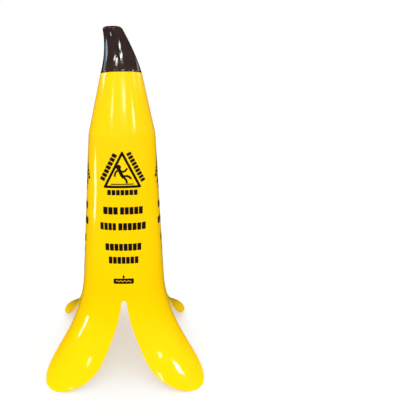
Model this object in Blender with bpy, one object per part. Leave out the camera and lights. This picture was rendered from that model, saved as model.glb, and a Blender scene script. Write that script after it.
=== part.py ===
"""Wet floor sign: a banana-shaped safety cone that stands on its own opened skin.

Frame: metres, +Z up, origin on the floor in the middle of the four feet, front towards -Y.
The stem bends towards -X.

Pieces: peel_body, one thin yellow moulding; stem, a dark cap that snaps into its top; and four
warning triangles, the black printed frame on each of its sides.

The body is a four-sided tube with soft corners. Each level section of it is a superellipse,
|x/a|^n + |y/a|^n = 1, whose half width a changes with height. Below FLARE_TOP its four corners
swing outwards as peels, and below SLIT_TOP a slit in the middle of each side parts them.
"""

import math

import bmesh
import bpy
import numpy as np
from mathutils import Matrix, Vector

# The whole sign
HEIGHT = 0.6134
ROUNDNESS = 2.4  # the n of every section: 2 is a circle, more is squarer
GAP = 0.0003  # between pieces that touch

# The body's half width across its flat sides falls along two slopes, which blend at the shoulder
NECK_TOP = 0.5425
NECK_HALF = 0.0355
SHOULDER = 0.4425
SHOULDER_HALF = 0.0601
SHOULDER_BLEND = 0.002
SLIT_TOP = 0.146
SLIT_HALF = 0.0828

# The wall, and the inner lip at the neck's mouth that the stem snaps under
WALL = 0.0025
LIP_WALL = 0.0045
LIP_HEIGHT = 0.003
LIP_RAMP = 0.0008  # height over which the wall thins below the lip

# The peels: the line down the middle of each, its ridge, swings out by FLARE at the foot
FLARE_TOP = 0.1775
FLARE = 0.0960
FLARE_POWER = 2.74
FOOT_HEIGHT = 0.0005  # of the outer face at the foot, before the foot is trimmed flat
LEAN_EASE = 0.37  # share of the ridge over which its sections tip from level to square to it
FOOT_CROWN = 0.744  # how much of the corner's curve across the peel is left at the foot
CROWN_POWER = 0.83
TIP_START = 0.55  # share of the peel's length where its round tip begins
TIP_POWER = 1.95
TIP_END = 0.999  # share where the tip ends in a short straight edge

# The slits: half their width grows with the way down, from a round top
SLIT_ROUND = 0.005
SLIT_SLOPE = 0.27
SLIT_SPREAD = 0.215

# The stem
STEM_TOP_HALF = 0.0162
STEM_TAPER_POWER = 1.15
STEM_DEPTH_POWER = 1.4  # its front and back flare out more at the foot than its sides
STEM_BEND = 0.0142
STEM_BEND_POWER = 1.95
STEM_WALL = 0.0026
STEM_EDGE = 0.0035
STEM_SEAT_HEIGHT = 0.003  # of the ledge inside it that carries the spigot
SPIGOT_HALF = 0.0302
SPIGOT_WALL = 0.0020
SPIGOT_DEPTH = 0.012
BEAD_TOP = 0.0042  # below the butt line, just clear of the lip
BEAD_HEIGHT = 0.0012
BEAD_REACH = 0.0022
SPIGOT_LEAD = 0.0006  # how far its end is drawn in
SPIGOT_SLOT = 0.003
SLOT_DROP = 0.001  # of the slots' tops below the butt line

# The ink
INK = 0.0003
TRIANGLE_BASE = 0.3555
TRIANGLE_HEIGHT = 0.0635
TRIANGLE_HALF = 0.0335
TRIANGLE_STROKE = 0.0043
TRIANGLE_SOFTNESS = 0.004  # how far the round of an outer corner reaches along its sides
INNER_SOFTNESS = TRIANGLE_SOFTNESS / 3

# How finely the curves are cut into facets
QUARTER_COLUMNS = 12
PEEL_ROWS = 24
RIDGE_SAMPLES = 400
STEM_COLUMNS = 32
STEM_ROWS = 9
WELD = 0.00001
TRIM_DEPTH = 0.05  # of the boxes that trim the mouth and the feet

# A quarter section of half width 1, seen from its corner
CORNER_REACH = 2 ** (0.5 - 1 / ROUNDNESS)
EDGE_REACH = math.sqrt(0.5)
CORNER_RISE = CORNER_REACH - EDGE_REACH


def clear_scene():
    for obj in list(bpy.data.objects):
        bpy.data.objects.remove(obj)


def plastic(name, colour, roughness):
    material = bpy.data.materials.new(name)
    material.use_nodes = True
    shader = material.node_tree.nodes["Principled BSDF"]
    shader.inputs["Base Color"].default_value = (*colour, 1)
    shader.inputs["Roughness"].default_value = roughness
    shader.inputs["Metallic"].default_value = 0
    return material


def add_object(name, shape, material=None):
    """A new object from a bmesh, shaded smooth except at sharp edges."""
    mesh = bpy.data.meshes.new(name)
    shape.to_mesh(mesh)
    shape.free()
    if material:
        mesh.materials.append(material)
    mesh.shade_smooth()
    mesh.set_sharp_from_angle(angle=math.radians(35))
    obj = bpy.data.objects.new(name, mesh)
    bpy.context.collection.objects.link(obj)
    return obj


def cut_with_box(target, name, size, centre, turn=0.0):
    """Cuts a box away from the target, whose cutter stays in the scene as a hidden helper."""
    shape = bmesh.new()
    place = Matrix.Translation(centre) @ Matrix.Rotation(turn, 4, "Z") @ Matrix.Diagonal((*size, 1))
    bmesh.ops.create_cube(shape, size=1, matrix=place)
    cutter = add_object(name, shape)
    cutter.hide_render = True
    cutter.display_type = "WIRE"
    cut = target.modifiers.new(name, "BOOLEAN")
    cut.operation = "DIFFERENCE"
    cut.solver = "EXACT"
    cut.object = cutter


def section_reach(angle):
    """Distance from the axis to a section of half width 1, in the direction of angle."""
    sides = abs(np.cos(angle)) ** ROUNDNESS + abs(np.sin(angle)) ** ROUNDNESS
    return sides ** (-1 / ROUNDNESS)


def half_width(z):
    """Half width of the body across its flat sides, at height z."""
    trunk_slope = (SHOULDER_HALF - SLIT_HALF) / (SHOULDER - SLIT_TOP)
    neck_slope = (NECK_HALF - SHOULDER_HALF) / (NECK_TOP - SHOULDER)
    above = z - SHOULDER
    blend = (above + np.hypot(above, SHOULDER_BLEND)) / 2
    return SHOULDER_HALF + trunk_slope * above + (neck_slope - trunk_slope) * blend


def quarter_section():
    """A quarter of a section of half width 1: how far each point lies behind the corner, and aside."""
    turn = np.linspace(-math.pi / 4, math.pi / 4, QUARTER_COLUMNS + 1)
    reach = section_reach(turn + math.pi / 4)
    return CORNER_REACH - reach * np.cos(turn), reach * np.sin(turn)


def tube_rows():
    """Rows of (out, aside, up) down one corner of the tube, from above its mouth to the flare."""
    behind, aside = quarter_section()
    lip_bottom = NECK_TOP - LIP_HEIGHT
    neck = [NECK_TOP + WALL, lip_bottom, lip_bottom - LIP_RAMP, (lip_bottom + SHOULDER) / 2]
    shoulder = [SHOULDER + step * SHOULDER_BLEND for step in (3, 1.5, 0.7, 0, -0.7, -1.5, -3, -6)]
    trunk = list(np.linspace(shoulder[-1], FLARE_TOP, 4)[1:])
    rows = []
    for z in neck + shoulder + trunk:
        a = half_width(z)
        rows.append([(a * (CORNER_REACH - b), a * s, z) for b, s in zip(behind, aside)])
    return rows


def ridge():
    """Samples down the middle of a peel: length from FLARE_TOP, distance out, height and lean."""
    z = np.linspace(FLARE_TOP, FOOT_HEIGHT, RIDGE_SAMPLES)
    fall = (FLARE_TOP - z) / (FLARE_TOP - FOOT_HEIGHT)
    out = half_width(z) * CORNER_REACH + FLARE * fall**FLARE_POWER
    length = np.concatenate([[0], np.cumsum(np.hypot(np.diff(z), np.diff(out)))])
    lean = np.arctan2(np.gradient(out, length), -np.gradient(z, length))
    ease = np.minimum(length / (LEAN_EASE * length[-1]), 1)
    return length, out, z, lean * ease * ease * (3 - 2 * ease)


def peel_rows():
    """Rows of (out, aside, up) down one peel, from below FLARE_TOP to its foot."""
    behind, aside = quarter_section()
    length, *samples = ridge()
    slit = np.interp(-SLIT_TOP, -samples[1], length)
    step = np.linspace(0, 1, PEEL_ROWS)
    shares = TIP_END * (1 - (1 - step**2) ** 2)  # the rows crowd towards the slit's top and the tip
    places = list(np.linspace(0, slit, 4)[1:-1]) + list(slit + shares * (length[-1] - slit))
    rows = []
    for place in places:
        out, z, lean = (np.interp(place, length, sample) for sample in samples)
        a = half_width(z)
        past = max(place - slit, 0)
        share = past / (length[-1] - slit)
        crown = 1 - (1 - FOOT_CROWN) * share**CROWN_POWER
        top = SLIT_ROUND * math.sqrt(1 - math.exp(-2 * past / SLIT_ROUND))
        gap = math.hypot((SLIT_SLOPE + SLIT_SPREAD * share) * past, top)
        # The scale of the quarter section that leaves its two edges at gap from the slits' middles
        square = crown * a * CORNER_RISE * math.cos(lean)
        linear = a * EDGE_REACH
        spare = out - math.sqrt(2) * gap
        scale = (math.sqrt(linear**2 + 4 * square * spare) - linear) / (2 * square)
        tip = max((share - TIP_START) / (1 - TIP_START), 0)
        scale *= math.sqrt(1 - tip**TIP_POWER)
        depth = crown * a * scale**2 * behind
        rows.append(
            list(zip(out - depth * math.cos(lean), scale * a * aside, z - depth * math.sin(lean)))
        )
    return rows


def add_grid(shape, rows, turn):
    """Adds the rows' faces to the shape, with their out direction at the angle turn."""
    out_way = Vector((math.cos(turn), math.sin(turn), 0))
    aside_way = Vector((-math.sin(turn), math.cos(turn), 0))
    grid = []
    for row in rows:
        grid.append(
            [shape.verts.new(out_way * out + aside_way * aside + Vector((0, 0, z))) for out, aside, z in row]
        )
    for upper, lower in zip(grid, grid[1:]):
        for i in range(len(upper) - 1):
            shape.faces.new((upper[i], lower[i], lower[i + 1], upper[i + 1]))


def make_body(material):
    """The body's outer face, thickened inwards, with its mouth and its feet trimmed level."""
    rows = tube_rows() + peel_rows()
    shape = bmesh.new()
    for corner in range(4):
        add_grid(shape, rows, math.pi / 4 + corner * math.pi / 2)
    bmesh.ops.remove_doubles(shape, verts=shape.verts, dist=WELD)
    bmesh.ops.recalc_face_normals(shape, faces=shape.faces)
    body = add_object("peel_body", shape, material)

    lip = body.vertex_groups.new(name="lip")
    lip_bottom = NECK_TOP - LIP_HEIGHT
    lip.add([v.index for v in body.data.vertices if v.co.z > lip_bottom - GAP], 1, "REPLACE")
    wall = body.modifiers.new("wall", "SOLIDIFY")
    wall.thickness = LIP_WALL
    wall.offset = -1
    wall.vertex_group = "lip"
    wall.thickness_vertex_group = WALL / LIP_WALL
    wall.use_quality_normals = True

    size = (2 * HEIGHT, 2 * HEIGHT, TRIM_DEPTH)
    cut_with_box(body, "trim_mouth", size, (0, 0, NECK_TOP + TRIM_DEPTH / 2))
    cut_with_box(body, "trim_feet", size, (0, 0, -TRIM_DEPTH / 2))
    return body


def stem_share(z):
    return max((z - NECK_TOP) / (HEIGHT - NECK_TOP), 0)


def stem_half(z, inset=0.0):
    """Half width and half depth of the stem at height z, less the inset."""
    left = 1 - stem_share(z)
    top = STEM_TOP_HALF - inset
    spread = NECK_HALF - STEM_TOP_HALF
    return top + spread * left**STEM_TAPER_POWER, top + spread * left**STEM_DEPTH_POWER


def stem_profile():
    """(half width, half depth, height) of the stem's rings, down inside and up outside."""
    ceiling = HEIGHT - STEM_WALL
    ledge = NECK_TOP + STEM_SEAT_HEIGHT
    inside = [(*stem_half(z, STEM_WALL), z) for z in np.linspace(ceiling, ledge + STEM_WALL, 7)]
    bore = SPIGOT_HALF - SPIGOT_WALL
    end = NECK_TOP - SPIGOT_DEPTH
    bead_top = NECK_TOP - BEAD_TOP
    spigot = [
        (bore, ledge),
        (bore, end),
        (SPIGOT_HALF - SPIGOT_LEAD, end),
        (SPIGOT_HALF + BEAD_REACH, bead_top - BEAD_HEIGHT),
        (SPIGOT_HALF + BEAD_REACH, bead_top),
        (SPIGOT_HALF, bead_top),
        (SPIGOT_HALF, NECK_TOP + GAP),
    ]
    outside = [(*stem_half(z), z) for z in np.linspace(NECK_TOP + GAP, HEIGHT - STEM_EDGE, STEM_ROWS)]
    edge = []
    for angle in np.radians([30, 60, 90]):
        drop = STEM_EDGE * (1 - math.sin(angle))
        z = HEIGHT - drop
        edge.append((*stem_half(z, STEM_EDGE * (1 - math.cos(angle))), z))
    return inside + [(half, half, z) for half, z in spigot] + outside + edge


def make_stem(material):
    """The hollow stem, with a slotted spigot whose bead snaps under the body's lip."""
    angles = np.linspace(0, 2 * math.pi, STEM_COLUMNS, endpoint=False)
    shape = bmesh.new()
    rings = []
    for half, depth, z in stem_profile():
        shift = -STEM_BEND * stem_share(z) ** STEM_BEND_POWER
        ring = []
        for angle in angles:
            reach = section_reach(angle)
            x = shift + half * reach * math.cos(angle)
            ring.append(shape.verts.new((x, depth * reach * math.sin(angle), z)))
        rings.append(ring)
    for one, other in zip(rings, rings[1:]):
        for i in range(STEM_COLUMNS):
            j = (i + 1) % STEM_COLUMNS
            shape.faces.new((one[i], one[j], other[j], other[i]))
    shape.faces.new(rings[0])
    shape.faces.new(rings[-1])
    bmesh.ops.recalc_face_normals(shape, faces=shape.faces)
    stem = add_object("stem", shape, material)

    slot_size = (4 * SPIGOT_HALF, SPIGOT_SLOT, SPIGOT_DEPTH)
    slot_centre = (0, 0, NECK_TOP - SLOT_DROP - SPIGOT_DEPTH / 2)
    for name, turn in (("spigot_slot_a", math.pi / 4), ("spigot_slot_b", -math.pi / 4)):
        cut_with_box(stem, name, slot_size, slot_centre, turn)
    return stem


def on_front(x, z, lift):
    """The point of the front side at x and z, lifted off its face."""
    a = half_width(z) + lift
    return Vector((x, -a * (1 - abs(x / a) ** ROUNDNESS) ** (1 / ROUNDNESS), z))


def triangle_corners(shrink):
    """The triangle's three corners, moved towards the middle of its inscribed circle."""
    slope = math.hypot(TRIANGLE_HALF, TRIANGLE_HEIGHT)
    inner_radius = TRIANGLE_HALF * TRIANGLE_HEIGHT / (TRIANGLE_HALF + slope)
    middle = np.array((0, TRIANGLE_BASE + inner_radius))
    keep = 1 - shrink / inner_radius
    base = TRIANGLE_BASE
    corners = ((-TRIANGLE_HALF, base), (TRIANGLE_HALF, base), (0, base + TRIANGLE_HEIGHT))
    return [middle + keep * (np.array(corner) - middle) for corner in corners]


def soft_triangle(shrink, softness):
    """The outline of the shrunken triangle with its corners rounded off."""
    corners = triangle_corners(shrink)
    points = []
    for i, corner in enumerate(corners):
        before = corners[i - 1] - corner
        after = corners[(i + 1) % 3] - corner
        arrive = softness * before / np.hypot(*before)
        leave = softness * after / np.hypot(*after)
        for t in (0, 0.33, 0.67, 1):
            points.append(corner + (1 - t) ** 2 * arrive + t * t * leave)
        points += [corner + after * share for share in (0.17, 0.33, 0.5, 0.67, 0.83)]
    return points


def make_triangles(material):
    """The printed triangular frame, once on each side: a thin ring that follows the face."""
    outer = soft_triangle(0, TRIANGLE_SOFTNESS)
    inner = soft_triangle(TRIANGLE_STROKE, INNER_SOFTNESS)
    corners = ((outer, GAP), (inner, GAP), (inner, GAP + INK), (outer, GAP + INK))
    for turn, side in enumerate(("front", "right", "back", "left")):
        ink = bmesh.new()
        rows = [[ink.verts.new(on_front(x, z, lift)) for x, z in row] for row, lift in corners]
        for i in range(len(outer)):
            for row, other in zip(rows, rows[1:] + rows[:1]):
                ink.faces.new((row[i - 1], row[i], other[i], other[i - 1]))
        bmesh.ops.recalc_face_normals(ink, faces=ink.faces)
        ink.transform(Matrix.Rotation(turn * math.pi / 2, 4, "Z"))
        add_object(f"warning_triangle_{side}", ink, material)


clear_scene()
make_body(plastic("yellow_plastic", (1.0, 0.70, 0.0), 0.22))
make_stem(plastic("brown_plastic", (0.022, 0.014, 0.011), 0.2))
make_triangles(plastic("black_ink", (0.012, 0.009, 0.009), 0.45))
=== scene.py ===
"""The looks of the wet floor sign: finer meshes, its print, its plastics, and a white studio.

Everything is in metres in the model's frame: +Z up, origin on the floor between the feet, front
towards -Y. The sign doesn't move, so every piece rides on its one body. The shapes repeat the
model's own formulas at a finer step, with rounded edges.
"""

import math

import bmesh
import bpy
import numpy as np
from mathutils import Matrix, Vector


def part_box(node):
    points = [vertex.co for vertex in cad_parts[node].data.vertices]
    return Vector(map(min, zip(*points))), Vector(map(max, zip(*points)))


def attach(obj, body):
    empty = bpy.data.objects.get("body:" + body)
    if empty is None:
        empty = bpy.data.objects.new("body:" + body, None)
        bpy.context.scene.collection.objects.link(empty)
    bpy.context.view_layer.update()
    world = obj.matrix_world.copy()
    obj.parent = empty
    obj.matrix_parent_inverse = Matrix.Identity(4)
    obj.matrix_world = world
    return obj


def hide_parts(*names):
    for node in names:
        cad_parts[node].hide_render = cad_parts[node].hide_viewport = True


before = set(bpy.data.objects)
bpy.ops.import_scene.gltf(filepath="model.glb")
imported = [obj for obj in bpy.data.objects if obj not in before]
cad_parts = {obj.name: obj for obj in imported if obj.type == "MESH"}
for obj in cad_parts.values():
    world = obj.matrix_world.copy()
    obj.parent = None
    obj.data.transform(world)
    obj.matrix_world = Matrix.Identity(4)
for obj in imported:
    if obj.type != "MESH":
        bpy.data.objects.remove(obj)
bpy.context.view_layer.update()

# Heights that the frame gives
NECK_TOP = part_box("peel_body")[1].z
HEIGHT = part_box("stem")[1].z
TRIANGLE_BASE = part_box("warning_triangle_front")[0].z

# The section and the two slopes of the body, as in the model
ROUNDNESS = 2.4
NECK_HALF = 0.0355
SHOULDER = 0.4425
SHOULDER_HALF = 0.0601
SHOULDER_BLEND = 0.002
SLIT_TOP = 0.146
SLIT_HALF = 0.0828
WALL = 0.0025
LIP_WALL = 0.0045
LIP_HEIGHT = 0.003

# The peels and the slits between them, as in the model
FLARE_TOP = 0.1775
FLARE = 0.0960
FLARE_POWER = 2.74
FOOT_HEIGHT = 0.0005
LEAN_EASE = 0.37
FOOT_CROWN = 0.744
CROWN_POWER = 0.83
TIP_START = 0.55
TIP_POWER = 1.95
TIP_END = 0.999
SLIT_ROUND = 0.005
SLIT_SLOPE = 0.27
SLIT_SPREAD = 0.215

# The stem, as in the model
STEM_TOP_HALF = 0.0162
STEM_TAPER_POWER = 1.15
STEM_DEPTH_POWER = 1.4
STEM_BEND = 0.0142
STEM_BEND_POWER = 1.95
STEM_WALL = 0.0026
STEM_EDGE = 0.0035
STEM_SEAT_HEIGHT = 0.003
SPIGOT_HALF = 0.0302
SPIGOT_WALL = 0.0020
SPIGOT_DEPTH = 0.012
BEAD_TOP = 0.0042
BEAD_HEIGHT = 0.0012
BEAD_REACH = 0.0022
SPIGOT_LEAD = 0.0006
SPIGOT_SLOT = 0.003
SLOT_DROP = 0.001  # of the slots' tops below the butt line
BUTT_GAP = 0.0003

# Edges that the model leaves sharp
EDGE_ROUND = 0.0007
RIM_ROUND = 0.0012
EDGE_STEPS = np.radians([0, 22.5, 45, 67.5, 90])
STEM_EDGE_STEPS = np.radians(np.arange(10, 91, 10))
HAIR = EDGE_ROUND / 10

# How finely the surfaces are cut
QUARTER_COLUMNS = 28
NECK_ROWS = 18
TRUNK_ROWS = 42
FLARE_ROWS = 7
LIP_STEP = 0.0008
CREASE_STEPS = (0.0002, 0.0008, 0.0016, 0.0028, 0.0045)
PEEL_ROWS = 64
RIDGE_SAMPLES = 1500
STEM_COLUMNS = 112
STEM_ROWS = 26
WELD = 0.00001
SHARP_EDGE = 40  # degrees

# The print: thin ink, just off the plastic
INK_LIFT = 0.00006
INK = 0.00008
INK_CUT = 0.0025  # the print is cut this finely before it is bent round the side
TRIANGLE_HEIGHT = 0.0635
TRIANGLE_HALF = 0.0335
TRIANGLE_STROKE = 0.0043
TRIANGLE_SOFTNESS = 0.004
INNER_SOFTNESS = TRIANGLE_SOFTNESS / 4
TRIANGLE_CUTS = 8  # points round each of its corners

# Words are rows of plain blocks: (left end, right end, height of the middle, block height, blocks)
WORDS = (
    (-0.0262, 0.0258, 0.3478, 0.0092, 7),
    (-0.0340, -0.0088, 0.3158, 0.0132, 3),
    (-0.0046, 0.0350, 0.3158, 0.0132, 5),
    (-0.0400, -0.0122, 0.2872, 0.0132, 4),
    (-0.0080, 0.0404, 0.2872, 0.0132, 6),
    (-0.0318, 0.0322, 0.2494, 0.0132, 8),
    (-0.0262, 0.0270, 0.2248, 0.0132, 7),
)
BLOCK_GAP = 0.0013
BLOCK_SOFTNESS = 0.0009
CORNER_CUTS = 5  # steps round the corner of a block or bar

# Rows beside the triangle's left and right sides: (side, length, blocks)
SIDE_WORDS = ((-1, 0.0500, 7), (1, 0.0550, 9))
SIDE_WORD_HEIGHT = 0.0084
SIDE_WORD_OFFSET = 0.0074

# The slipping figure, from the middle of the triangle's base
HEAD_CENTRE = (-0.0062, 0.0354)
HEAD_RADIUS = 0.0043
HEAD_ARC = (0, 345, 23)  # degrees to degrees, in steps
FIGURE_STROKES = (
    (((-0.0040, 0.0298), (-0.0020, 0.0242), (0.0014, 0.0192)), 0.0056),  # trunk
    (((-0.0040, 0.0302), (-0.0102, 0.0280), (-0.0126, 0.0206)), 0.0032),  # rear arm
    (((-0.0036, 0.0296), (0.0030, 0.0282), (0.0078, 0.0326)), 0.0032),  # front arm
    (((0.0014, 0.0188), (0.0082, 0.0206), (0.0146, 0.0164)), 0.0036),  # raised leg
    (((0.0012, 0.0190), (0.0064, 0.0138), (0.0074, 0.0096)), 0.0036),  # standing leg
)
STROKE_CUTS = 10
CAP_CUTS = 6
FLOOR_LINE = (-0.0200, 0.0200, 0.0067, 0.0018)  # left, right, height of the middle, thickness
FLOOR_LINE_SOFTNESS = 0.0006

# The plate at the foot of the print, with a ripple left clear in it, and a drop above it
PLATE = (-0.0184, 0.0186, 0.1842, 0.0104)  # left, right, height of the middle, height
PLATE_SOFTNESS = 0.0018
RIPPLE_WAVES = 4
RIPPLE_HEIGHT = 0.0011
RIPPLE_STROKE = 0.0014
RIPPLE_INSET = 0.12  # share of the plate's width left at each end
RIPPLE_CUTS = 12  # steps in each wave
DROP_TOP = 0.1975
DROP_RADIUS = 0.0022
DROP_HEIGHT = 2.4 * DROP_RADIUS  # of its point above the middle of its round end
DROP_ARC = (145, 395, 20)

# A quarter section of half width 1, seen from its corner
CORNER_REACH = 2 ** (0.5 - 1 / ROUNDNESS)
EDGE_REACH = math.sqrt(0.5)
CORNER_RISE = CORNER_REACH - EDGE_REACH


# Shapes ---------------------------------------------------------------------------------------


def section_reach(angle):
    """Distance from the axis to a section of half width 1, in the direction of angle."""
    sides = abs(np.cos(angle)) ** ROUNDNESS + abs(np.sin(angle)) ** ROUNDNESS
    return sides ** (-1 / ROUNDNESS)


def half_width(z):
    """Half width of the body across its flat sides, at height z."""
    trunk_slope = (SHOULDER_HALF - SLIT_HALF) / (SHOULDER - SLIT_TOP)
    neck_slope = (NECK_HALF - SHOULDER_HALF) / (NECK_TOP - SHOULDER)
    above = z - SHOULDER
    blend = (above + np.hypot(above, SHOULDER_BLEND)) / 2
    return SHOULDER_HALF + trunk_slope * above + (neck_slope - trunk_slope) * blend


def quarter_section():
    """A quarter of a section of half width 1: how far each point lies behind the corner, and aside."""
    turn = np.linspace(-math.pi / 4, math.pi / 4, QUARTER_COLUMNS + 1)
    reach = section_reach(turn + math.pi / 4)
    return CORNER_REACH - reach * np.cos(turn), reach * np.sin(turn)


def tube_rows():
    """Rows of (out, aside, up) down one corner of the tube, from its mouth to the flare."""
    behind, aside = quarter_section()
    lip_bottom = NECK_TOP - LIP_HEIGHT
    crease = [SHOULDER + side * step for side in (1, -1) for step in CREASE_STEPS]
    heights = [NECK_TOP, NECK_TOP - RIM_ROUND, lip_bottom, lip_bottom - LIP_STEP]
    heights += list(np.linspace(lip_bottom - 2 * LIP_STEP, max(crease), NECK_ROWS)[:-1])
    heights += sorted(crease, reverse=True)
    heights += list(np.linspace(min(crease), FLARE_TOP, TRUNK_ROWS)[1:])
    rows = []
    for z in heights:
        a = half_width(z)
        rows.append([(a * (CORNER_REACH - b), a * s, z) for b, s in zip(behind, aside)])
    return rows


def ridge():
    """Samples down the middle of a peel: length from FLARE_TOP, distance out, height and lean."""
    z = np.linspace(FLARE_TOP, FOOT_HEIGHT, RIDGE_SAMPLES)
    fall = (FLARE_TOP - z) / (FLARE_TOP - FOOT_HEIGHT)
    out = half_width(z) * CORNER_REACH + FLARE * fall**FLARE_POWER
    length = np.concatenate([[0], np.cumsum(np.hypot(np.diff(z), np.diff(out)))])
    lean = np.arctan2(np.gradient(out, length), -np.gradient(z, length))
    ease = np.minimum(length / (LEAN_EASE * length[-1]), 1)
    return length, out, z, lean * ease * ease * (3 - 2 * ease)


def peel_rows():
    """Rows of (out, aside, up) down one peel, from below FLARE_TOP to its foot."""
    behind, aside = quarter_section()
    length, *samples = ridge()
    slit = np.interp(-SLIT_TOP, -samples[1], length)
    step = np.linspace(0, 1, PEEL_ROWS)
    shares = TIP_END * (1 - (1 - step**2) ** 2)
    places = list(np.linspace(0, slit, FLARE_ROWS)[1:-1]) + list(slit + shares * (length[-1] - slit))
    rows = []
    for place in places:
        out, z, lean = (np.interp(place, length, sample) for sample in samples)
        a = half_width(z)
        past = max(place - slit, 0)
        share = past / (length[-1] - slit)
        crown = 1 - (1 - FOOT_CROWN) * share**CROWN_POWER
        top = SLIT_ROUND * math.sqrt(1 - math.exp(-2 * past / SLIT_ROUND))
        gap = math.hypot((SLIT_SLOPE + SLIT_SPREAD * share) * past, top)
        # The scale of the quarter section that leaves its two edges at gap from the slits' middles
        square = crown * a * CORNER_RISE * math.cos(lean)
        linear = a * EDGE_REACH
        spare = out - math.sqrt(2) * gap
        scale = (math.sqrt(linear**2 + 4 * square * spare) - linear) / (2 * square)
        tip = max((share - TIP_START) / (1 - TIP_START), 0)
        scale *= math.sqrt(1 - tip**TIP_POWER)
        depth = crown * a * scale**2 * behind
        outs = out - depth * math.cos(lean)
        heights = z - depth * math.sin(lean)
        rows.append(list(zip(outs, scale * a * aside, heights)))
    return rows


def add_grid(shape, rows, turn):
    """Adds the rows' faces to the shape, with their out direction at the angle turn."""
    out_way = Vector((math.cos(turn), math.sin(turn), 0))
    aside_way = Vector((-math.sin(turn), math.cos(turn), 0))
    grid = []
    for row in rows:
        places = [out_way * out + aside_way * aside + Vector((0, 0, z)) for out, aside, z in row]
        grid.append([shape.verts.new(place) for place in places])
    for upper, lower in zip(grid, grid[1:]):
        for i in range(len(upper) - 1):
            shape.faces.new((upper[i], lower[i], lower[i + 1], upper[i + 1]))


def free_edges(shape):
    """The open surface's free edges as (start, end) with the surface on their left, and the way off
    the surface at each of their points."""
    pairs = []
    ways = {}
    for edge in shape.edges:
        if edge.is_boundary:
            loop = edge.link_loops[0]
            start, end = loop.vert, loop.link_loop_next.vert
            pairs.append((start, end))
            off = (end.co - start.co).normalized().cross(loop.face.normal)
            for vert in (start, end):
                ways[vert] = ways.get(vert, Vector()) + off
    return pairs, {vert: way.normalized() for vert, way in ways.items()}


def thicken(shape, wall_at, level_at):
    """Gives an open surface a wall of wall_at(point) inwards, with rounded free edges.

    Where level_at(point) holds, the free edge is level and the wall goes straight sideways.
    That edge is rounder than the others.
    """
    shape.normal_update()
    pairs, ways = free_edges(shape)
    outer_faces = [list(face.verts) for face in shape.faces]
    verts = list(shape.verts)
    inner = {}
    rims = {}
    for vert in verts:
        point, normal = vert.co.copy(), vert.normal.copy()
        wall = wall_at(point)
        radius = EDGE_ROUND
        if level_at(point):
            radius = RIM_ROUND
            normal = Vector((normal.x, normal.y, 0)).normalized()
            ways[vert] = Vector((0, 0, 1))
        if vert not in ways:
            inner[vert] = shape.verts.new(point - normal * wall)
            continue
        way = ways[vert]
        rim = []
        for turn in EDGE_STEPS:
            rim.append((radius * (math.sin(turn) - 1), radius * (1 - math.cos(turn))))
        rim += [(along, wall - deep) for along, deep in reversed(rim)]
        places = [point + way * along - normal * deep for along, deep in rim]
        vert.co = places[0]
        rims[vert] = [vert] + [shape.verts.new(place) for place in places[1:]]
        inner[vert] = rims[vert][-1]
    for face in outer_faces:
        shape.faces.new([inner[vert] for vert in reversed(face)])
    for start, end in pairs:
        for k in range(len(rims[start]) - 1):
            one, other = rims[start], rims[end]
            shape.faces.new((one[k], one[k + 1], other[k + 1], other[k]))


def add_object(name, shape, material):
    """A new object from a bmesh, shaded smooth except at sharp edges."""
    mesh = bpy.data.meshes.new(name)
    shape.to_mesh(mesh)
    shape.free()
    mesh.materials.append(material)
    mesh.shade_smooth()
    mesh.set_sharp_from_angle(angle=math.radians(SHARP_EDGE))
    obj = bpy.data.objects.new(name, mesh)
    bpy.context.collection.objects.link(obj)
    return obj


def make_body(material):
    """The yellow skin: its outer face with a wall inwards, flattened where the feet rest."""
    shape = bmesh.new()
    rows = tube_rows() + peel_rows()
    for corner in range(4):
        add_grid(shape, rows, math.pi / 4 + corner * math.pi / 2)
    bmesh.ops.remove_doubles(shape, verts=shape.verts, dist=WELD)
    bmesh.ops.recalc_face_normals(shape, faces=shape.faces)
    lip_bottom = NECK_TOP - LIP_HEIGHT - HAIR
    thicken(
        shape,
        wall_at=lambda point: LIP_WALL if point.z > lip_bottom else WALL,
        level_at=lambda point: point.z > NECK_TOP - HAIR,
    )
    for vert in shape.verts:
        vert.co.z = max(vert.co.z, 0)
    bmesh.ops.recalc_face_normals(shape, faces=shape.faces)
    body = add_object("yellow_skin", shape, material)
    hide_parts("peel_body")
    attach(body, "root")


def stem_share(z):
    return max((z - NECK_TOP) / (HEIGHT - NECK_TOP), 0)


def stem_half(z, inset=0.0):
    """Half width and half depth of the stem at height z, less the inset."""
    left = 1 - stem_share(z)
    top = STEM_TOP_HALF - inset
    spread = NECK_HALF - STEM_TOP_HALF
    return top + spread * left**STEM_TAPER_POWER, top + spread * left**STEM_DEPTH_POWER


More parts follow.
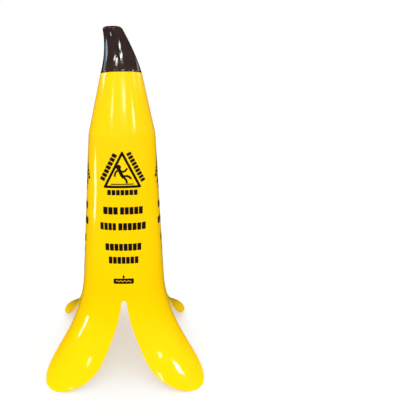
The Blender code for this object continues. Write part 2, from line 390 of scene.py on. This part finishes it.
def stem_profile():
    """(half width, half depth, height) of the stem's rings, down inside and up outside."""
    ceiling = HEIGHT - STEM_WALL
    ledge = NECK_TOP + STEM_SEAT_HEIGHT
    inside = [(*stem_half(z, STEM_WALL), z) for z in np.linspace(ceiling, ledge + STEM_WALL, STEM_ROWS)]
    bore = SPIGOT_HALF - SPIGOT_WALL
    end = NECK_TOP - SPIGOT_DEPTH
    bead_top = NECK_TOP - BEAD_TOP
    seat = NECK_TOP + BUTT_GAP
    spigot = [
        (bore, ledge),
        (bore, end),
        (SPIGOT_HALF - SPIGOT_LEAD, end),
        (SPIGOT_HALF + BEAD_REACH, bead_top - BEAD_HEIGHT),
        (SPIGOT_HALF + BEAD_REACH, bead_top),
        (SPIGOT_HALF, bead_top),
        (SPIGOT_HALF, seat),
    ]
    base_round = EDGE_ROUND / 2
    base = []
    for turn in EDGE_STEPS:
        inset = base_round * (1 - math.sin(turn))
        base.append((NECK_HALF - inset, seat + base_round * (1 - math.cos(turn))))
    outside = [(*stem_half(z), z) for z in np.linspace(base[-1][1], HEIGHT - STEM_EDGE, STEM_ROWS)[1:]]
    edge = []
    for turn in STEM_EDGE_STEPS:
        z = HEIGHT - STEM_EDGE * (1 - math.sin(turn))
        edge.append((*stem_half(z, STEM_EDGE * (1 - math.cos(turn))), z))
    return inside + [(half, half, z) for half, z in spigot + base] + outside + edge


def cut_slots(stem):
    """Cuts the spigot into four snap fingers, by two crossed boxes."""
    slot_size = (4 * SPIGOT_HALF, SPIGOT_SLOT, SPIGOT_DEPTH, 1)
    place = Matrix.Translation((0, 0, NECK_TOP - SLOT_DROP - SPIGOT_DEPTH / 2))
    cutters = []
    for turn in (math.pi / 4, -math.pi / 4):
        shape = bmesh.new()
        matrix = place @ Matrix.Rotation(turn, 4, "Z") @ Matrix.Diagonal(slot_size)
        bmesh.ops.create_cube(shape, size=1, matrix=matrix)
        cutter = add_object("slot_cutter", shape, stem.data.materials[0])
        cut = stem.modifiers.new("slot", "BOOLEAN")
        cut.operation = "DIFFERENCE"
        cut.solver = "EXACT"
        cut.object = cutter
        cutters.append(cutter)
    bake_modifiers(stem)
    for cutter in cutters:
        bpy.data.objects.remove(cutter)


def bake_modifiers(obj):
    """Applies the object's modifiers to its mesh."""
    graph = bpy.context.evaluated_depsgraph_get()
    made = bpy.data.meshes.new_from_object(obj.evaluated_get(graph))
    obj.modifiers.clear()
    obj.data = made


def make_stem(material):
    """The hollow brown stem, bent to one side."""
    angles = np.linspace(0, 2 * math.pi, STEM_COLUMNS, endpoint=False)
    shape = bmesh.new()
    rings = []
    for half, depth, z in stem_profile():
        shift = -STEM_BEND * stem_share(z) ** STEM_BEND_POWER
        ring = []
        for angle in angles:
            reach = section_reach(angle)
            x = shift + half * reach * math.cos(angle)
            ring.append(shape.verts.new((x, depth * reach * math.sin(angle), z)))
        rings.append(ring)
    for one, other in zip(rings, rings[1:]):
        for i in range(STEM_COLUMNS):
            j = (i + 1) % STEM_COLUMNS
            shape.faces.new((one[i], one[j], other[j], other[i]))
    shape.faces.new(rings[0])
    shape.faces.new(rings[-1])
    bmesh.ops.recalc_face_normals(shape, faces=shape.faces)
    stem = add_object("brown_stem", shape, material)
    cut_slots(stem)
    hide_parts("stem")
    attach(stem, "root")


# The print ------------------------------------------------------------------------------------


def arc(centre, radius, start, end, steps):
    """Points along an arc of a circle, from one angle to another in degrees."""
    turns = np.radians(np.linspace(start, end, steps + 1))
    return [(centre[0] + radius * math.cos(t), centre[1] + radius * math.sin(t)) for t in turns]


def bar_outline(start, end, thickness, softness):
    """A straight bar with rounded corners, lying between two points."""
    start, end = np.array(start), np.array(end)
    length = np.hypot(*(end - start))
    way = (end - start) / length
    side = np.array((-way[1], way[0]))
    right, up = length - softness, thickness / 2 - softness
    corners = (((right, up), 0), ((softness, up), 90), ((softness, -up), 180), ((right, -up), 270))
    points = []
    for centre, turn in corners:
        points += arc(centre, softness, turn, turn + 90, CORNER_CUTS)
    return [start + way * x + side * y for x, y in points]


def stroke_outline(points, thickness):
    """A round-ended stroke of even thickness along the smooth curve through three points."""
    start, middle, end = (np.array(point) for point in points)
    handle = 2 * middle - (start + end) / 2
    left = []
    right = []
    for t in np.linspace(0, 1, STROKE_CUTS + 1):
        place = (1 - t) ** 2 * start + 2 * t * (1 - t) * handle + t * t * end
        way = (1 - t) * (handle - start) + t * (end - handle)
        side = np.array((-way[1], way[0])) / np.hypot(*way) * thickness / 2
        left.append(place + side)
        right.append(place - side)
    first = math.degrees(math.atan2(*(handle - start)[::-1]))
    last = math.degrees(math.atan2(*(end - handle)[::-1]))
    far_cap = arc(end, thickness / 2, last - 90, last + 90, CAP_CUTS)[1:-1]
    near_cap = arc(start, thickness / 2, first + 90, first + 270, CAP_CUTS)[1:-1]
    return right + far_cap + left[::-1] + near_cap


def triangle_outline(shrink, softness):
    """The triangle, moved in by shrink on all sides, with its corners rounded off."""
    slope = math.hypot(TRIANGLE_HALF, TRIANGLE_HEIGHT)
    inner_radius = TRIANGLE_HALF * TRIANGLE_HEIGHT / (TRIANGLE_HALF + slope)
    middle = np.array((0, TRIANGLE_BASE + inner_radius))
    keep = 1 - shrink / inner_radius
    feet = [(-TRIANGLE_HALF, TRIANGLE_BASE), (TRIANGLE_HALF, TRIANGLE_BASE)]
    corners = feet + [(0, TRIANGLE_BASE + TRIANGLE_HEIGHT)]
    corners = [middle + keep * (np.array(corner) - middle) for corner in corners]
    points = []
    for i, corner in enumerate(corners):
        before = corners[i - 1] - corner
        after = corners[(i + 1) % 3] - corner
        arrive = softness * before / np.hypot(*before)
        leave = softness * after / np.hypot(*after)
        for t in np.linspace(0, 1, TRIANGLE_CUTS):
            points.append(corner + (1 - t) ** 2 * arrive + t * t * leave)
    return points


def ripple_outline():
    """The wavy band left clear in the plate."""
    left, right, height, _ = PLATE
    inset = RIPPLE_INSET * (right - left)
    across = np.linspace(left + inset, right - inset, RIPPLE_CUTS * RIPPLE_WAVES + 1)
    turns = np.linspace(0, 2 * math.pi * RIPPLE_WAVES, len(across))
    middle = height + RIPPLE_HEIGHT * np.sin(turns)
    lower = list(zip(across, middle - RIPPLE_STROKE / 2))
    upper = list(zip(across, middle + RIPPLE_STROKE / 2))
    return lower + upper[::-1]


def drop_outline():
    """A water drop: a circle drawn up to a point."""
    centre = (0, DROP_TOP - DROP_HEIGHT)
    return arc(centre, DROP_RADIUS, *DROP_ARC) + [(0, DROP_TOP)]


def plate_object(outline, thickness, sink=0.0):
    """A flat plate in the X-Z plane with the given outline, its back at -sink."""
    shape = bmesh.new()
    back = [shape.verts.new((x, sink, z)) for x, z in outline]
    front = [shape.verts.new((x, -thickness, z)) for x, z in outline]
    shape.faces.new(back)
    shape.faces.new(front[::-1])
    for i in range(len(outline)):
        shape.faces.new((back[i - 1], back[i], front[i], front[i - 1]))
    bmesh.ops.recalc_face_normals(shape, faces=shape.faces)
    mesh = bpy.data.meshes.new("plate")
    shape.to_mesh(mesh)
    shape.free()
    obj = bpy.data.objects.new("plate", mesh)
    bpy.context.collection.objects.link(obj)
    return obj


def combine(base, others, operation):
    """Joins the other plates to the base, or cuts them out of it, and removes them."""
    for other in others:
        step = base.modifiers.new("step", "BOOLEAN")
        step.operation = operation
        step.solver = "EXACT"
        step.object = other
    bake_modifiers(base)
    for other in others:
        bpy.data.objects.remove(other)
    return base


def word_blocks(start, end, thickness, count):
    """A row of plain blocks between two points, in place of the letters of a word."""
    start, end = np.array(start), np.array(end)
    length = np.hypot(*(end - start))
    way = (end - start) / length
    pitch = (length + BLOCK_GAP) / count
    blocks = []
    for k in range(count):
        near = start + way * pitch * k
        far = near + way * (pitch - BLOCK_GAP)
        blocks.append(plate_object(bar_outline(near, far, thickness, BLOCK_SOFTNESS), INK))
    return blocks


def flat_print():
    """The whole print as flat plates in one bmesh."""
    base = np.array((0, TRIANGLE_BASE))
    through = 2 * INK  # cutters are longer than the ink is thick, both ways
    ring = plate_object(triangle_outline(0, TRIANGLE_SOFTNESS), INK)
    hole = triangle_outline(TRIANGLE_STROKE, INNER_SOFTNESS)
    plates = [combine(ring, [plate_object(hole, through, INK)], "DIFFERENCE")]

    head = plate_object(arc(base + HEAD_CENTRE, HEAD_RADIUS, *HEAD_ARC), INK)
    strokes = []
    for points, thickness in FIGURE_STROKES:
        outline = stroke_outline([base + point for point in points], thickness)
        strokes.append(plate_object(outline, INK))
    plates += [head, combine(strokes[0], strokes[1:], "UNION")]

    left, right, height, thickness = PLATE
    bar = bar_outline((left, height), (right, height), thickness, PLATE_SOFTNESS)
    plate = plate_object(bar, INK)
    plates.append(combine(plate, [plate_object(ripple_outline(), through, INK)], "DIFFERENCE"))
    plates.append(plate_object(drop_outline(), INK))

    left, right, height, thickness = FLOOR_LINE
    line = bar_outline(base + (left, height), base + (right, height), thickness, FLOOR_LINE_SOFTNESS)
    plates.append(plate_object(line, INK))
    for left, right, height, thickness, count in WORDS:
        plates += word_blocks((left, height), (right, height), thickness, count)
    for side, length, count in SIDE_WORDS:
        foot = base + (side * TRIANGLE_HALF, 0)
        way = base + (0, TRIANGLE_HEIGHT) - foot
        reach = way / np.hypot(*way) * length / 2
        outwards = np.array((side * way[1], -side * way[0])) / np.hypot(*way)
        middle = foot + way / 2 + outwards * SIDE_WORD_OFFSET
        plates += word_blocks(middle - reach, middle + reach, SIDE_WORD_HEIGHT, count)

    flat = bmesh.new()
    for one in plates:
        flat.from_mesh(one.data)
        bpy.data.objects.remove(one)
    return flat


def bend_to_side(flat):
    """Cuts the flat print into narrow strips and bends it round the front side."""
    widest = max(abs(vert.co.x) for vert in flat.verts)
    for x in np.arange(-widest + INK_CUT / 2, widest, INK_CUT):
        everything = flat.verts[:] + flat.edges[:] + flat.faces[:]
        bmesh.ops.bisect_plane(flat, geom=everything, plane_co=(x, 0, 0), plane_no=(1, 0, 0))
    for vert in flat.verts:
        x, z = vert.co.x, vert.co.z
        a = half_width(z) + INK_LIFT - vert.co.y
        vert.co = (x, -a * (1 - abs(x / a) ** ROUNDNESS) ** (1 / ROUNDNESS), z)


def make_prints(material):
    """The same print on the four sides."""
    flat = flat_print()
    bend_to_side(flat)
    bmesh.ops.triangulate(flat, faces=flat.faces)
    for turn, side in enumerate(("front", "right", "back", "left")):
        ink = flat.copy()
        ink.transform(Matrix.Rotation(turn * math.pi / 2, 4, "Z"))
        one = add_object(f"print_{side}", ink, material)
        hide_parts(f"warning_triangle_{side}")
        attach(one, "root")
    flat.free()


# Materials ------------------------------------------------------------------------------------

# The Mix node's sockets for colours, by number: their names are shared with its other sockets
MIX_COLOURS_IN = (6, 7)
MIX_COLOUR_OUT = 2


def new_material(name):
    """A node material: (material, its nodes, its links, its Principled shader)."""
    material = bpy.data.materials.new(name)
    material.use_nodes = True
    tree = material.node_tree
    return material, tree.nodes, tree.links, tree.nodes["Principled BSDF"]


def add_noise(nodes, links, place, scale, detail, stretch=(1, 1, 1)):
    """Noise in object space, stretched along an axis by a small factor there."""
    mapping = nodes.new("ShaderNodeMapping")
    mapping.inputs["Scale"].default_value = stretch
    noise = nodes.new("ShaderNodeTexNoise")
    noise.inputs["Scale"].default_value = scale
    noise.inputs["Detail"].default_value = detail
    links.new(place.outputs["Object"], mapping.inputs["Vector"])
    links.new(mapping.outputs["Vector"], noise.inputs["Vector"])
    return noise.outputs["Fac"]


def add_range(nodes, links, value, low, high, start=0.0, end=1.0):
    """Maps the value from low..high to start..end, clamped."""
    ramp = nodes.new("ShaderNodeMapRange")
    ramp.inputs["From Min"].default_value = low
    ramp.inputs["From Max"].default_value = high
    ramp.inputs["To Min"].default_value = start
    ramp.inputs["To Max"].default_value = end
    links.new(value, ramp.inputs["Value"])
    return ramp.outputs["Result"]


def add_mix(nodes, links, factor, one, other):
    """A mix of two colours, each a colour or another node's output."""
    mix = nodes.new("ShaderNodeMix")
    mix.data_type = "RGBA"
    links.new(factor, mix.inputs["Factor"])
    for socket, value in zip(MIX_COLOURS_IN, (one, other)):
        if isinstance(value, tuple):
            mix.inputs[socket].default_value = (*value, 1)
        else:
            links.new(value, mix.inputs[socket])
    return mix.outputs[MIX_COLOUR_OUT]


def add_bumps(nodes, links, shader, layers):
    """Chains bumps of (height, distance, strength) into the shader's normal."""
    normal = None
    for height, distance, strength in layers:
        bump = nodes.new("ShaderNodeBump")
        bump.inputs["Distance"].default_value = distance
        bump.inputs["Strength"].default_value = strength
        links.new(height, bump.inputs["Height"])
        if normal:
            links.new(normal, bump.inputs["Normal"])
        normal = bump.outputs["Normal"]
    links.new(normal, shader.inputs["Normal"])


def yellow_plastic():
    """Glossy moulded plastic: faint streaks of flow, orange peel, and light scuffs at the feet."""
    material, nodes, links, shader = new_material("yellow_plastic")
    place = nodes.new("ShaderNodeTexCoord")
    split = nodes.new("ShaderNodeSeparateXYZ")
    links.new(place.outputs["Object"], split.inputs["Vector"])

    flow = add_range(nodes, links, add_noise(nodes, links, place, 34, 3, (1, 1, 0.12)), 0.35, 0.65)
    cloud = add_range(nodes, links, add_noise(nodes, links, place, 9, 2), 0.35, 0.65)
    streaked = add_mix(nodes, links, flow, (1.0, 0.61, 0.0), (1.0, 0.63, 0.0))
    clouded = add_mix(nodes, links, cloud, (1.0, 0.60, 0.0), streaked)

    scratch = add_range(nodes, links, add_noise(nodes, links, place, 420, 4, (1, 1, 0.35)), 0.56, 0.72)
    low = add_range(nodes, links, split.outputs["Z"], 0.001, 0.012, 1.0, 0.0)
    worn = nodes.new("ShaderNodeMath")
    worn.operation = "MULTIPLY"
    links.new(scratch, worn.inputs[0])
    links.new(low, worn.inputs[1])
    scuffed = add_mix(nodes, links, worn.outputs[0], clouded, (0.93, 0.56, 0.01))
    links.new(scuffed, shader.inputs["Base Color"])

    satin = add_range(nodes, links, split.outputs["Z"], 0.12, 0.24, 0.07, 0.12)
    rough = nodes.new("ShaderNodeMath")
    rough.operation = "ADD"
    links.new(satin, rough.inputs[0])
    links.new(add_range(nodes, links, cloud, 0, 1, -0.015, 0.015), rough.inputs[1])
    duller = nodes.new("ShaderNodeMath")
    duller.operation = "ADD"
    links.new(rough.outputs[0], duller.inputs[0])
    links.new(add_range(nodes, links, worn.outputs[0], 0, 1, 0.0, 0.12), duller.inputs[1])
    links.new(duller.outputs[0], shader.inputs["Roughness"])

    peel = add_noise(nodes, links, place, 520, 2)
    wave = add_noise(nodes, links, place, 26, 1, (1, 1, 0.5))
    add_bumps(nodes, links, shader, ((wave, 0.004, 0.07), (peel, 0.0006, 0.03)))
    shader.inputs["IOR"].default_value = 1.49
    shader.inputs["Subsurface Weight"].default_value = 0.12
    shader.inputs["Subsurface Radius"].default_value = (1.0, 0.55, 0.05)
    shader.inputs["Subsurface Scale"].default_value = 0.004
    return material


def brown_plastic():
    """Glossy dark plastic with fine orange peel and a few dull patches."""
    material, nodes, links, shader = new_material("brown_plastic")
    place = nodes.new("ShaderNodeTexCoord")
    cloud = add_range(nodes, links, add_noise(nodes, links, place, 40, 3), 0.35, 0.65)
    colour = add_mix(nodes, links, cloud, (0.024, 0.013, 0.012), (0.034, 0.020, 0.017))
    links.new(colour, shader.inputs["Base Color"])
    links.new(add_range(nodes, links, cloud, 0, 1, 0.035, 0.055), shader.inputs["Roughness"])
    peel = add_noise(nodes, links, place, 600, 2)
    wave = add_noise(nodes, links, place, 60, 1)
    add_bumps(nodes, links, shader, ((wave, 0.002, 0.04), (peel, 0.0005, 0.02)))
    shader.inputs["IOR"].default_value = 1.5
    return material


def black_ink():
    """Screen-printed ink: a little duller than the plastic, with a fine mesh grain."""
    material, nodes, links, shader = new_material("black_ink")
    place = nodes.new("ShaderNodeTexCoord")
    grain = add_range(nodes, links, add_noise(nodes, links, place, 1400, 3), 0.3, 0.7)
    colour = add_mix(nodes, links, grain, (0.003, 0.002, 0.002), (0.007, 0.004, 0.003))
    links.new(colour, shader.inputs["Base Color"])
    links.new(add_range(nodes, links, grain, 0, 1, 0.34, 0.48), shader.inputs["Roughness"])
    add_bumps(nodes, links, shader, ((grain, 0.00005, 0.3),))
    return material


# Studio ---------------------------------------------------------------------------------------

CAMERA_DISTANCE = 0.6067
CAMERA_HEIGHT = 0.4909
CAMERA_TURN = 0.47  # degrees round the object, towards +X
CAMERA_ROLL = -0.80
AIM_HEIGHT = 0.299
LENS = 28.23
SIDE_SHIFT = 0.2043  # the sign stands left of the middle of the frame

# Lamps that only show as highlights, as seen from LAMP_AIM: (name, degrees round from the front
# towards +X, degrees up, degrees wide, degrees high, distance, brightness, colour). Those that are
# high up or near show in the stem, the others in the neck and the peels.
LAMPS = (
    ("left_low", -27, 29.0, 6, 3.0, 4.0, 14, (1.0, 1.0, 1.0)),
    ("centre_low", 5, 31.0, 6, 3.4, 4.0, 14, (1.0, 1.0, 1.0)),
    ("right_low", 33, 27.0, 7, 3.2, 4.0, 14, (1.0, 1.0, 1.0)),
    ("left_high", -15, 45.8, 8, 1.6, 4.0, 30, (1.0, 1.0, 1.0)),
    ("left_higher", -26, 43.4, 9, 1.4, 4.0, 30, (1.0, 1.0, 1.0)),
    ("centre_high", 5, 46.2, 7, 1.4, 4.0, 30, (1.0, 1.0, 1.0)),
    ("centre_higher", 8, 43.8, 8, 1.6, 4.0, 30, (1.0, 1.0, 1.0)),
    ("right_window", 64, 36, 10, 5, 4.0, 30, (1.0, 1.0, 1.0)),
    ("left_window_low", -83, -8, 5, 10, 1.5, 24, (1.0, 1.0, 1.0)),
    ("left_window_high", -88, -1, 5, 6, 1.5, 16, (1.0, 1.0, 1.0)),
    ("left_sky", -94, 42, 9, 6, 0.67, 10, (0.30, 0.72, 1.0)),
    ("left_wall", -106, 42, 30, 9, 0.67, 1.5, (1.0, 1.0, 1.0)),
    ("right_wall", 112, 42, 34, 9, 0.67, 1.5, (1.0, 1.0, 1.0)),
)
LAMP_AIM = Vector((0, 0, 0.3))

# The soft key light: degrees round towards +X, degrees up, strength and spread in degrees
KEY = (-8, 24, 1.0, 30)

# How bright the surroundings are to the camera, to diffuse light and to reflections
SEEN_WORLD = 1.0
LIT_WORLD = 1.28
MIRRORED_WORLD = 0.05

FLOOR_RADIUS = 30
FLOOR_SIDES = 96


def way_to(turn, rise):
    """The direction turn degrees round from the front towards +X and rise degrees up."""
    round_, up = math.radians(turn), math.radians(rise)
    return Vector((math.sin(round_) * math.cos(up), -math.cos(round_) * math.cos(up), math.sin(up)))


def make_camera():
    turn = math.radians(CAMERA_TURN)
    place = Vector((math.sin(turn), -math.cos(turn), 0)) * CAMERA_DISTANCE
    place.z = CAMERA_HEIGHT
    forward = (Vector((0, 0, AIM_HEIGHT)) - place).normalized()
    right = forward.cross(Vector((0, 0, 1))).normalized()
    rolled = Matrix.Rotation(math.radians(-CAMERA_ROLL), 3, forward)
    right = rolled @ right
    up = right.cross(forward)
    data = bpy.data.cameras.new("camera")
    data.lens = LENS
    data.shift_x = SIDE_SHIFT
    camera = bpy.data.objects.new("camera", data)
    camera.matrix_world = Matrix.Translation(place) @ Matrix((right, up, -forward)).transposed().to_4x4()
    bpy.context.collection.objects.link(camera)
    bpy.context.scene.camera = camera


def make_lamps():
    for name, turn, rise, wide, high, distance, brightness, colour in LAMPS:
        data = bpy.data.lights.new(name, "AREA")
        data.shape = "RECTANGLE"
        data.size = 2 * distance * math.tan(math.radians(wide / 2))
        data.size_y = 2 * distance * math.tan(math.radians(high / 2))
        data.energy = brightness * math.pi * data.size * data.size_y
        data.color = colour
        lamp = bpy.data.objects.new(name, data)
        lamp.location = LAMP_AIM + distance * way_to(turn, rise)
        lamp.rotation_euler = way_to(turn, rise).to_track_quat("Z", "Y").to_euler()
        lamp.visible_diffuse = False
        bpy.context.collection.objects.link(lamp)
    turn, rise, strength, spread = KEY
    data = bpy.data.lights.new("key", "SUN")
    data.energy = strength
    data.angle = math.radians(spread)
    key = bpy.data.objects.new("key", data)
    key.rotation_euler = way_to(turn, rise).to_track_quat("Z", "Y").to_euler()
    key.visible_glossy = False
    bpy.context.collection.objects.link(key)


def make_world():
    """Soft light from all round, in front of plain white."""
    world = bpy.data.worlds.new("studio")
    world.use_nodes = True
    nodes, links = world.node_tree.nodes, world.node_tree.links
    path = nodes.new("ShaderNodeLightPath")
    shader = nodes["Background"]
    shader.inputs["Color"].default_value = (1, 1, 1, 1)
    shader.inputs["Strength"].default_value = LIT_WORLD
    for ray, strength in (("Is Glossy Ray", MIRRORED_WORLD), ("Is Camera Ray", SEEN_WORLD)):
        other = nodes.new("ShaderNodeBackground")
        other.inputs["Color"].default_value = (1, 1, 1, 1)
        other.inputs["Strength"].default_value = strength
        mix = nodes.new("ShaderNodeMixShader")
        links.new(path.outputs[ray], mix.inputs["Fac"])
        links.new(shader.outputs[0], mix.inputs[1])
        links.new(other.outputs[0], mix.inputs[2])
        shader = mix
    links.new(shader.outputs[0], nodes["World Output"].inputs["Surface"])
    bpy.context.scene.world = world


def make_floor():
    """A white floor that takes only light shadows, and throws little light back at the sign.

    To the camera, its cool colour and its warm glow add up to white, so its shadows are warm.
    """
    shape = bmesh.new()
    bmesh.ops.create_circle(shape, cap_ends=True, radius=FLOOR_RADIUS, segments=FLOOR_SIDES)
    material, nodes, links, shader = new_material("floor")
    place = nodes.new("ShaderNodeTexCoord")
    fibre = add_range(nodes, links, add_noise(nodes, links, place, 300, 2), 0.3, 0.7)
    cool = add_mix(nodes, links, fibre, (0.33, 0.40, 0.47), (0.35, 0.42, 0.49))
    links.new(cool, shader.inputs["Base Color"])
    shader.inputs["Roughness"].default_value = 0.9
    shader.inputs["Specular IOR Level"].default_value = 0.0
    shader.inputs["Emission Color"].default_value = (1.0, 0.85, 0.68, 1)
    shader.inputs["Emission Strength"].default_value = 0.60
    path = nodes.new("ShaderNodeLightPath")
    dim = nodes.new("ShaderNodeBsdfDiffuse")
    dim.inputs["Color"].default_value = (0.06, 0.045, 0.01, 1)
    bounce = nodes.new("ShaderNodeBsdfDiffuse")
    bounce.inputs["Color"].default_value = (0.45, 0.42, 0.30, 1)
    below = nodes.new("ShaderNodeMixShader")
    links.new(path.outputs["Is Glossy Ray"], below.inputs["Fac"])
    links.new(bounce.outputs[0], below.inputs[1])
    links.new(dim.outputs[0], below.inputs[2])
    mix = nodes.new("ShaderNodeMixShader")
    links.new(path.outputs["Is Camera Ray"], mix.inputs["Fac"])
    links.new(below.outputs[0], mix.inputs[1])
    links.new(shader.outputs[0], mix.inputs[2])
    links.new(mix.outputs[0], nodes["Material Output"].inputs["Surface"])
    add_object("floor", shape, material)


make_camera()
make_lamps()
make_world()
make_floor()
make_body(yellow_plastic())
make_stem(brown_plastic())
make_prints(black_ink())
bpy.context.scene.view_settings.view_transform = "Standard"
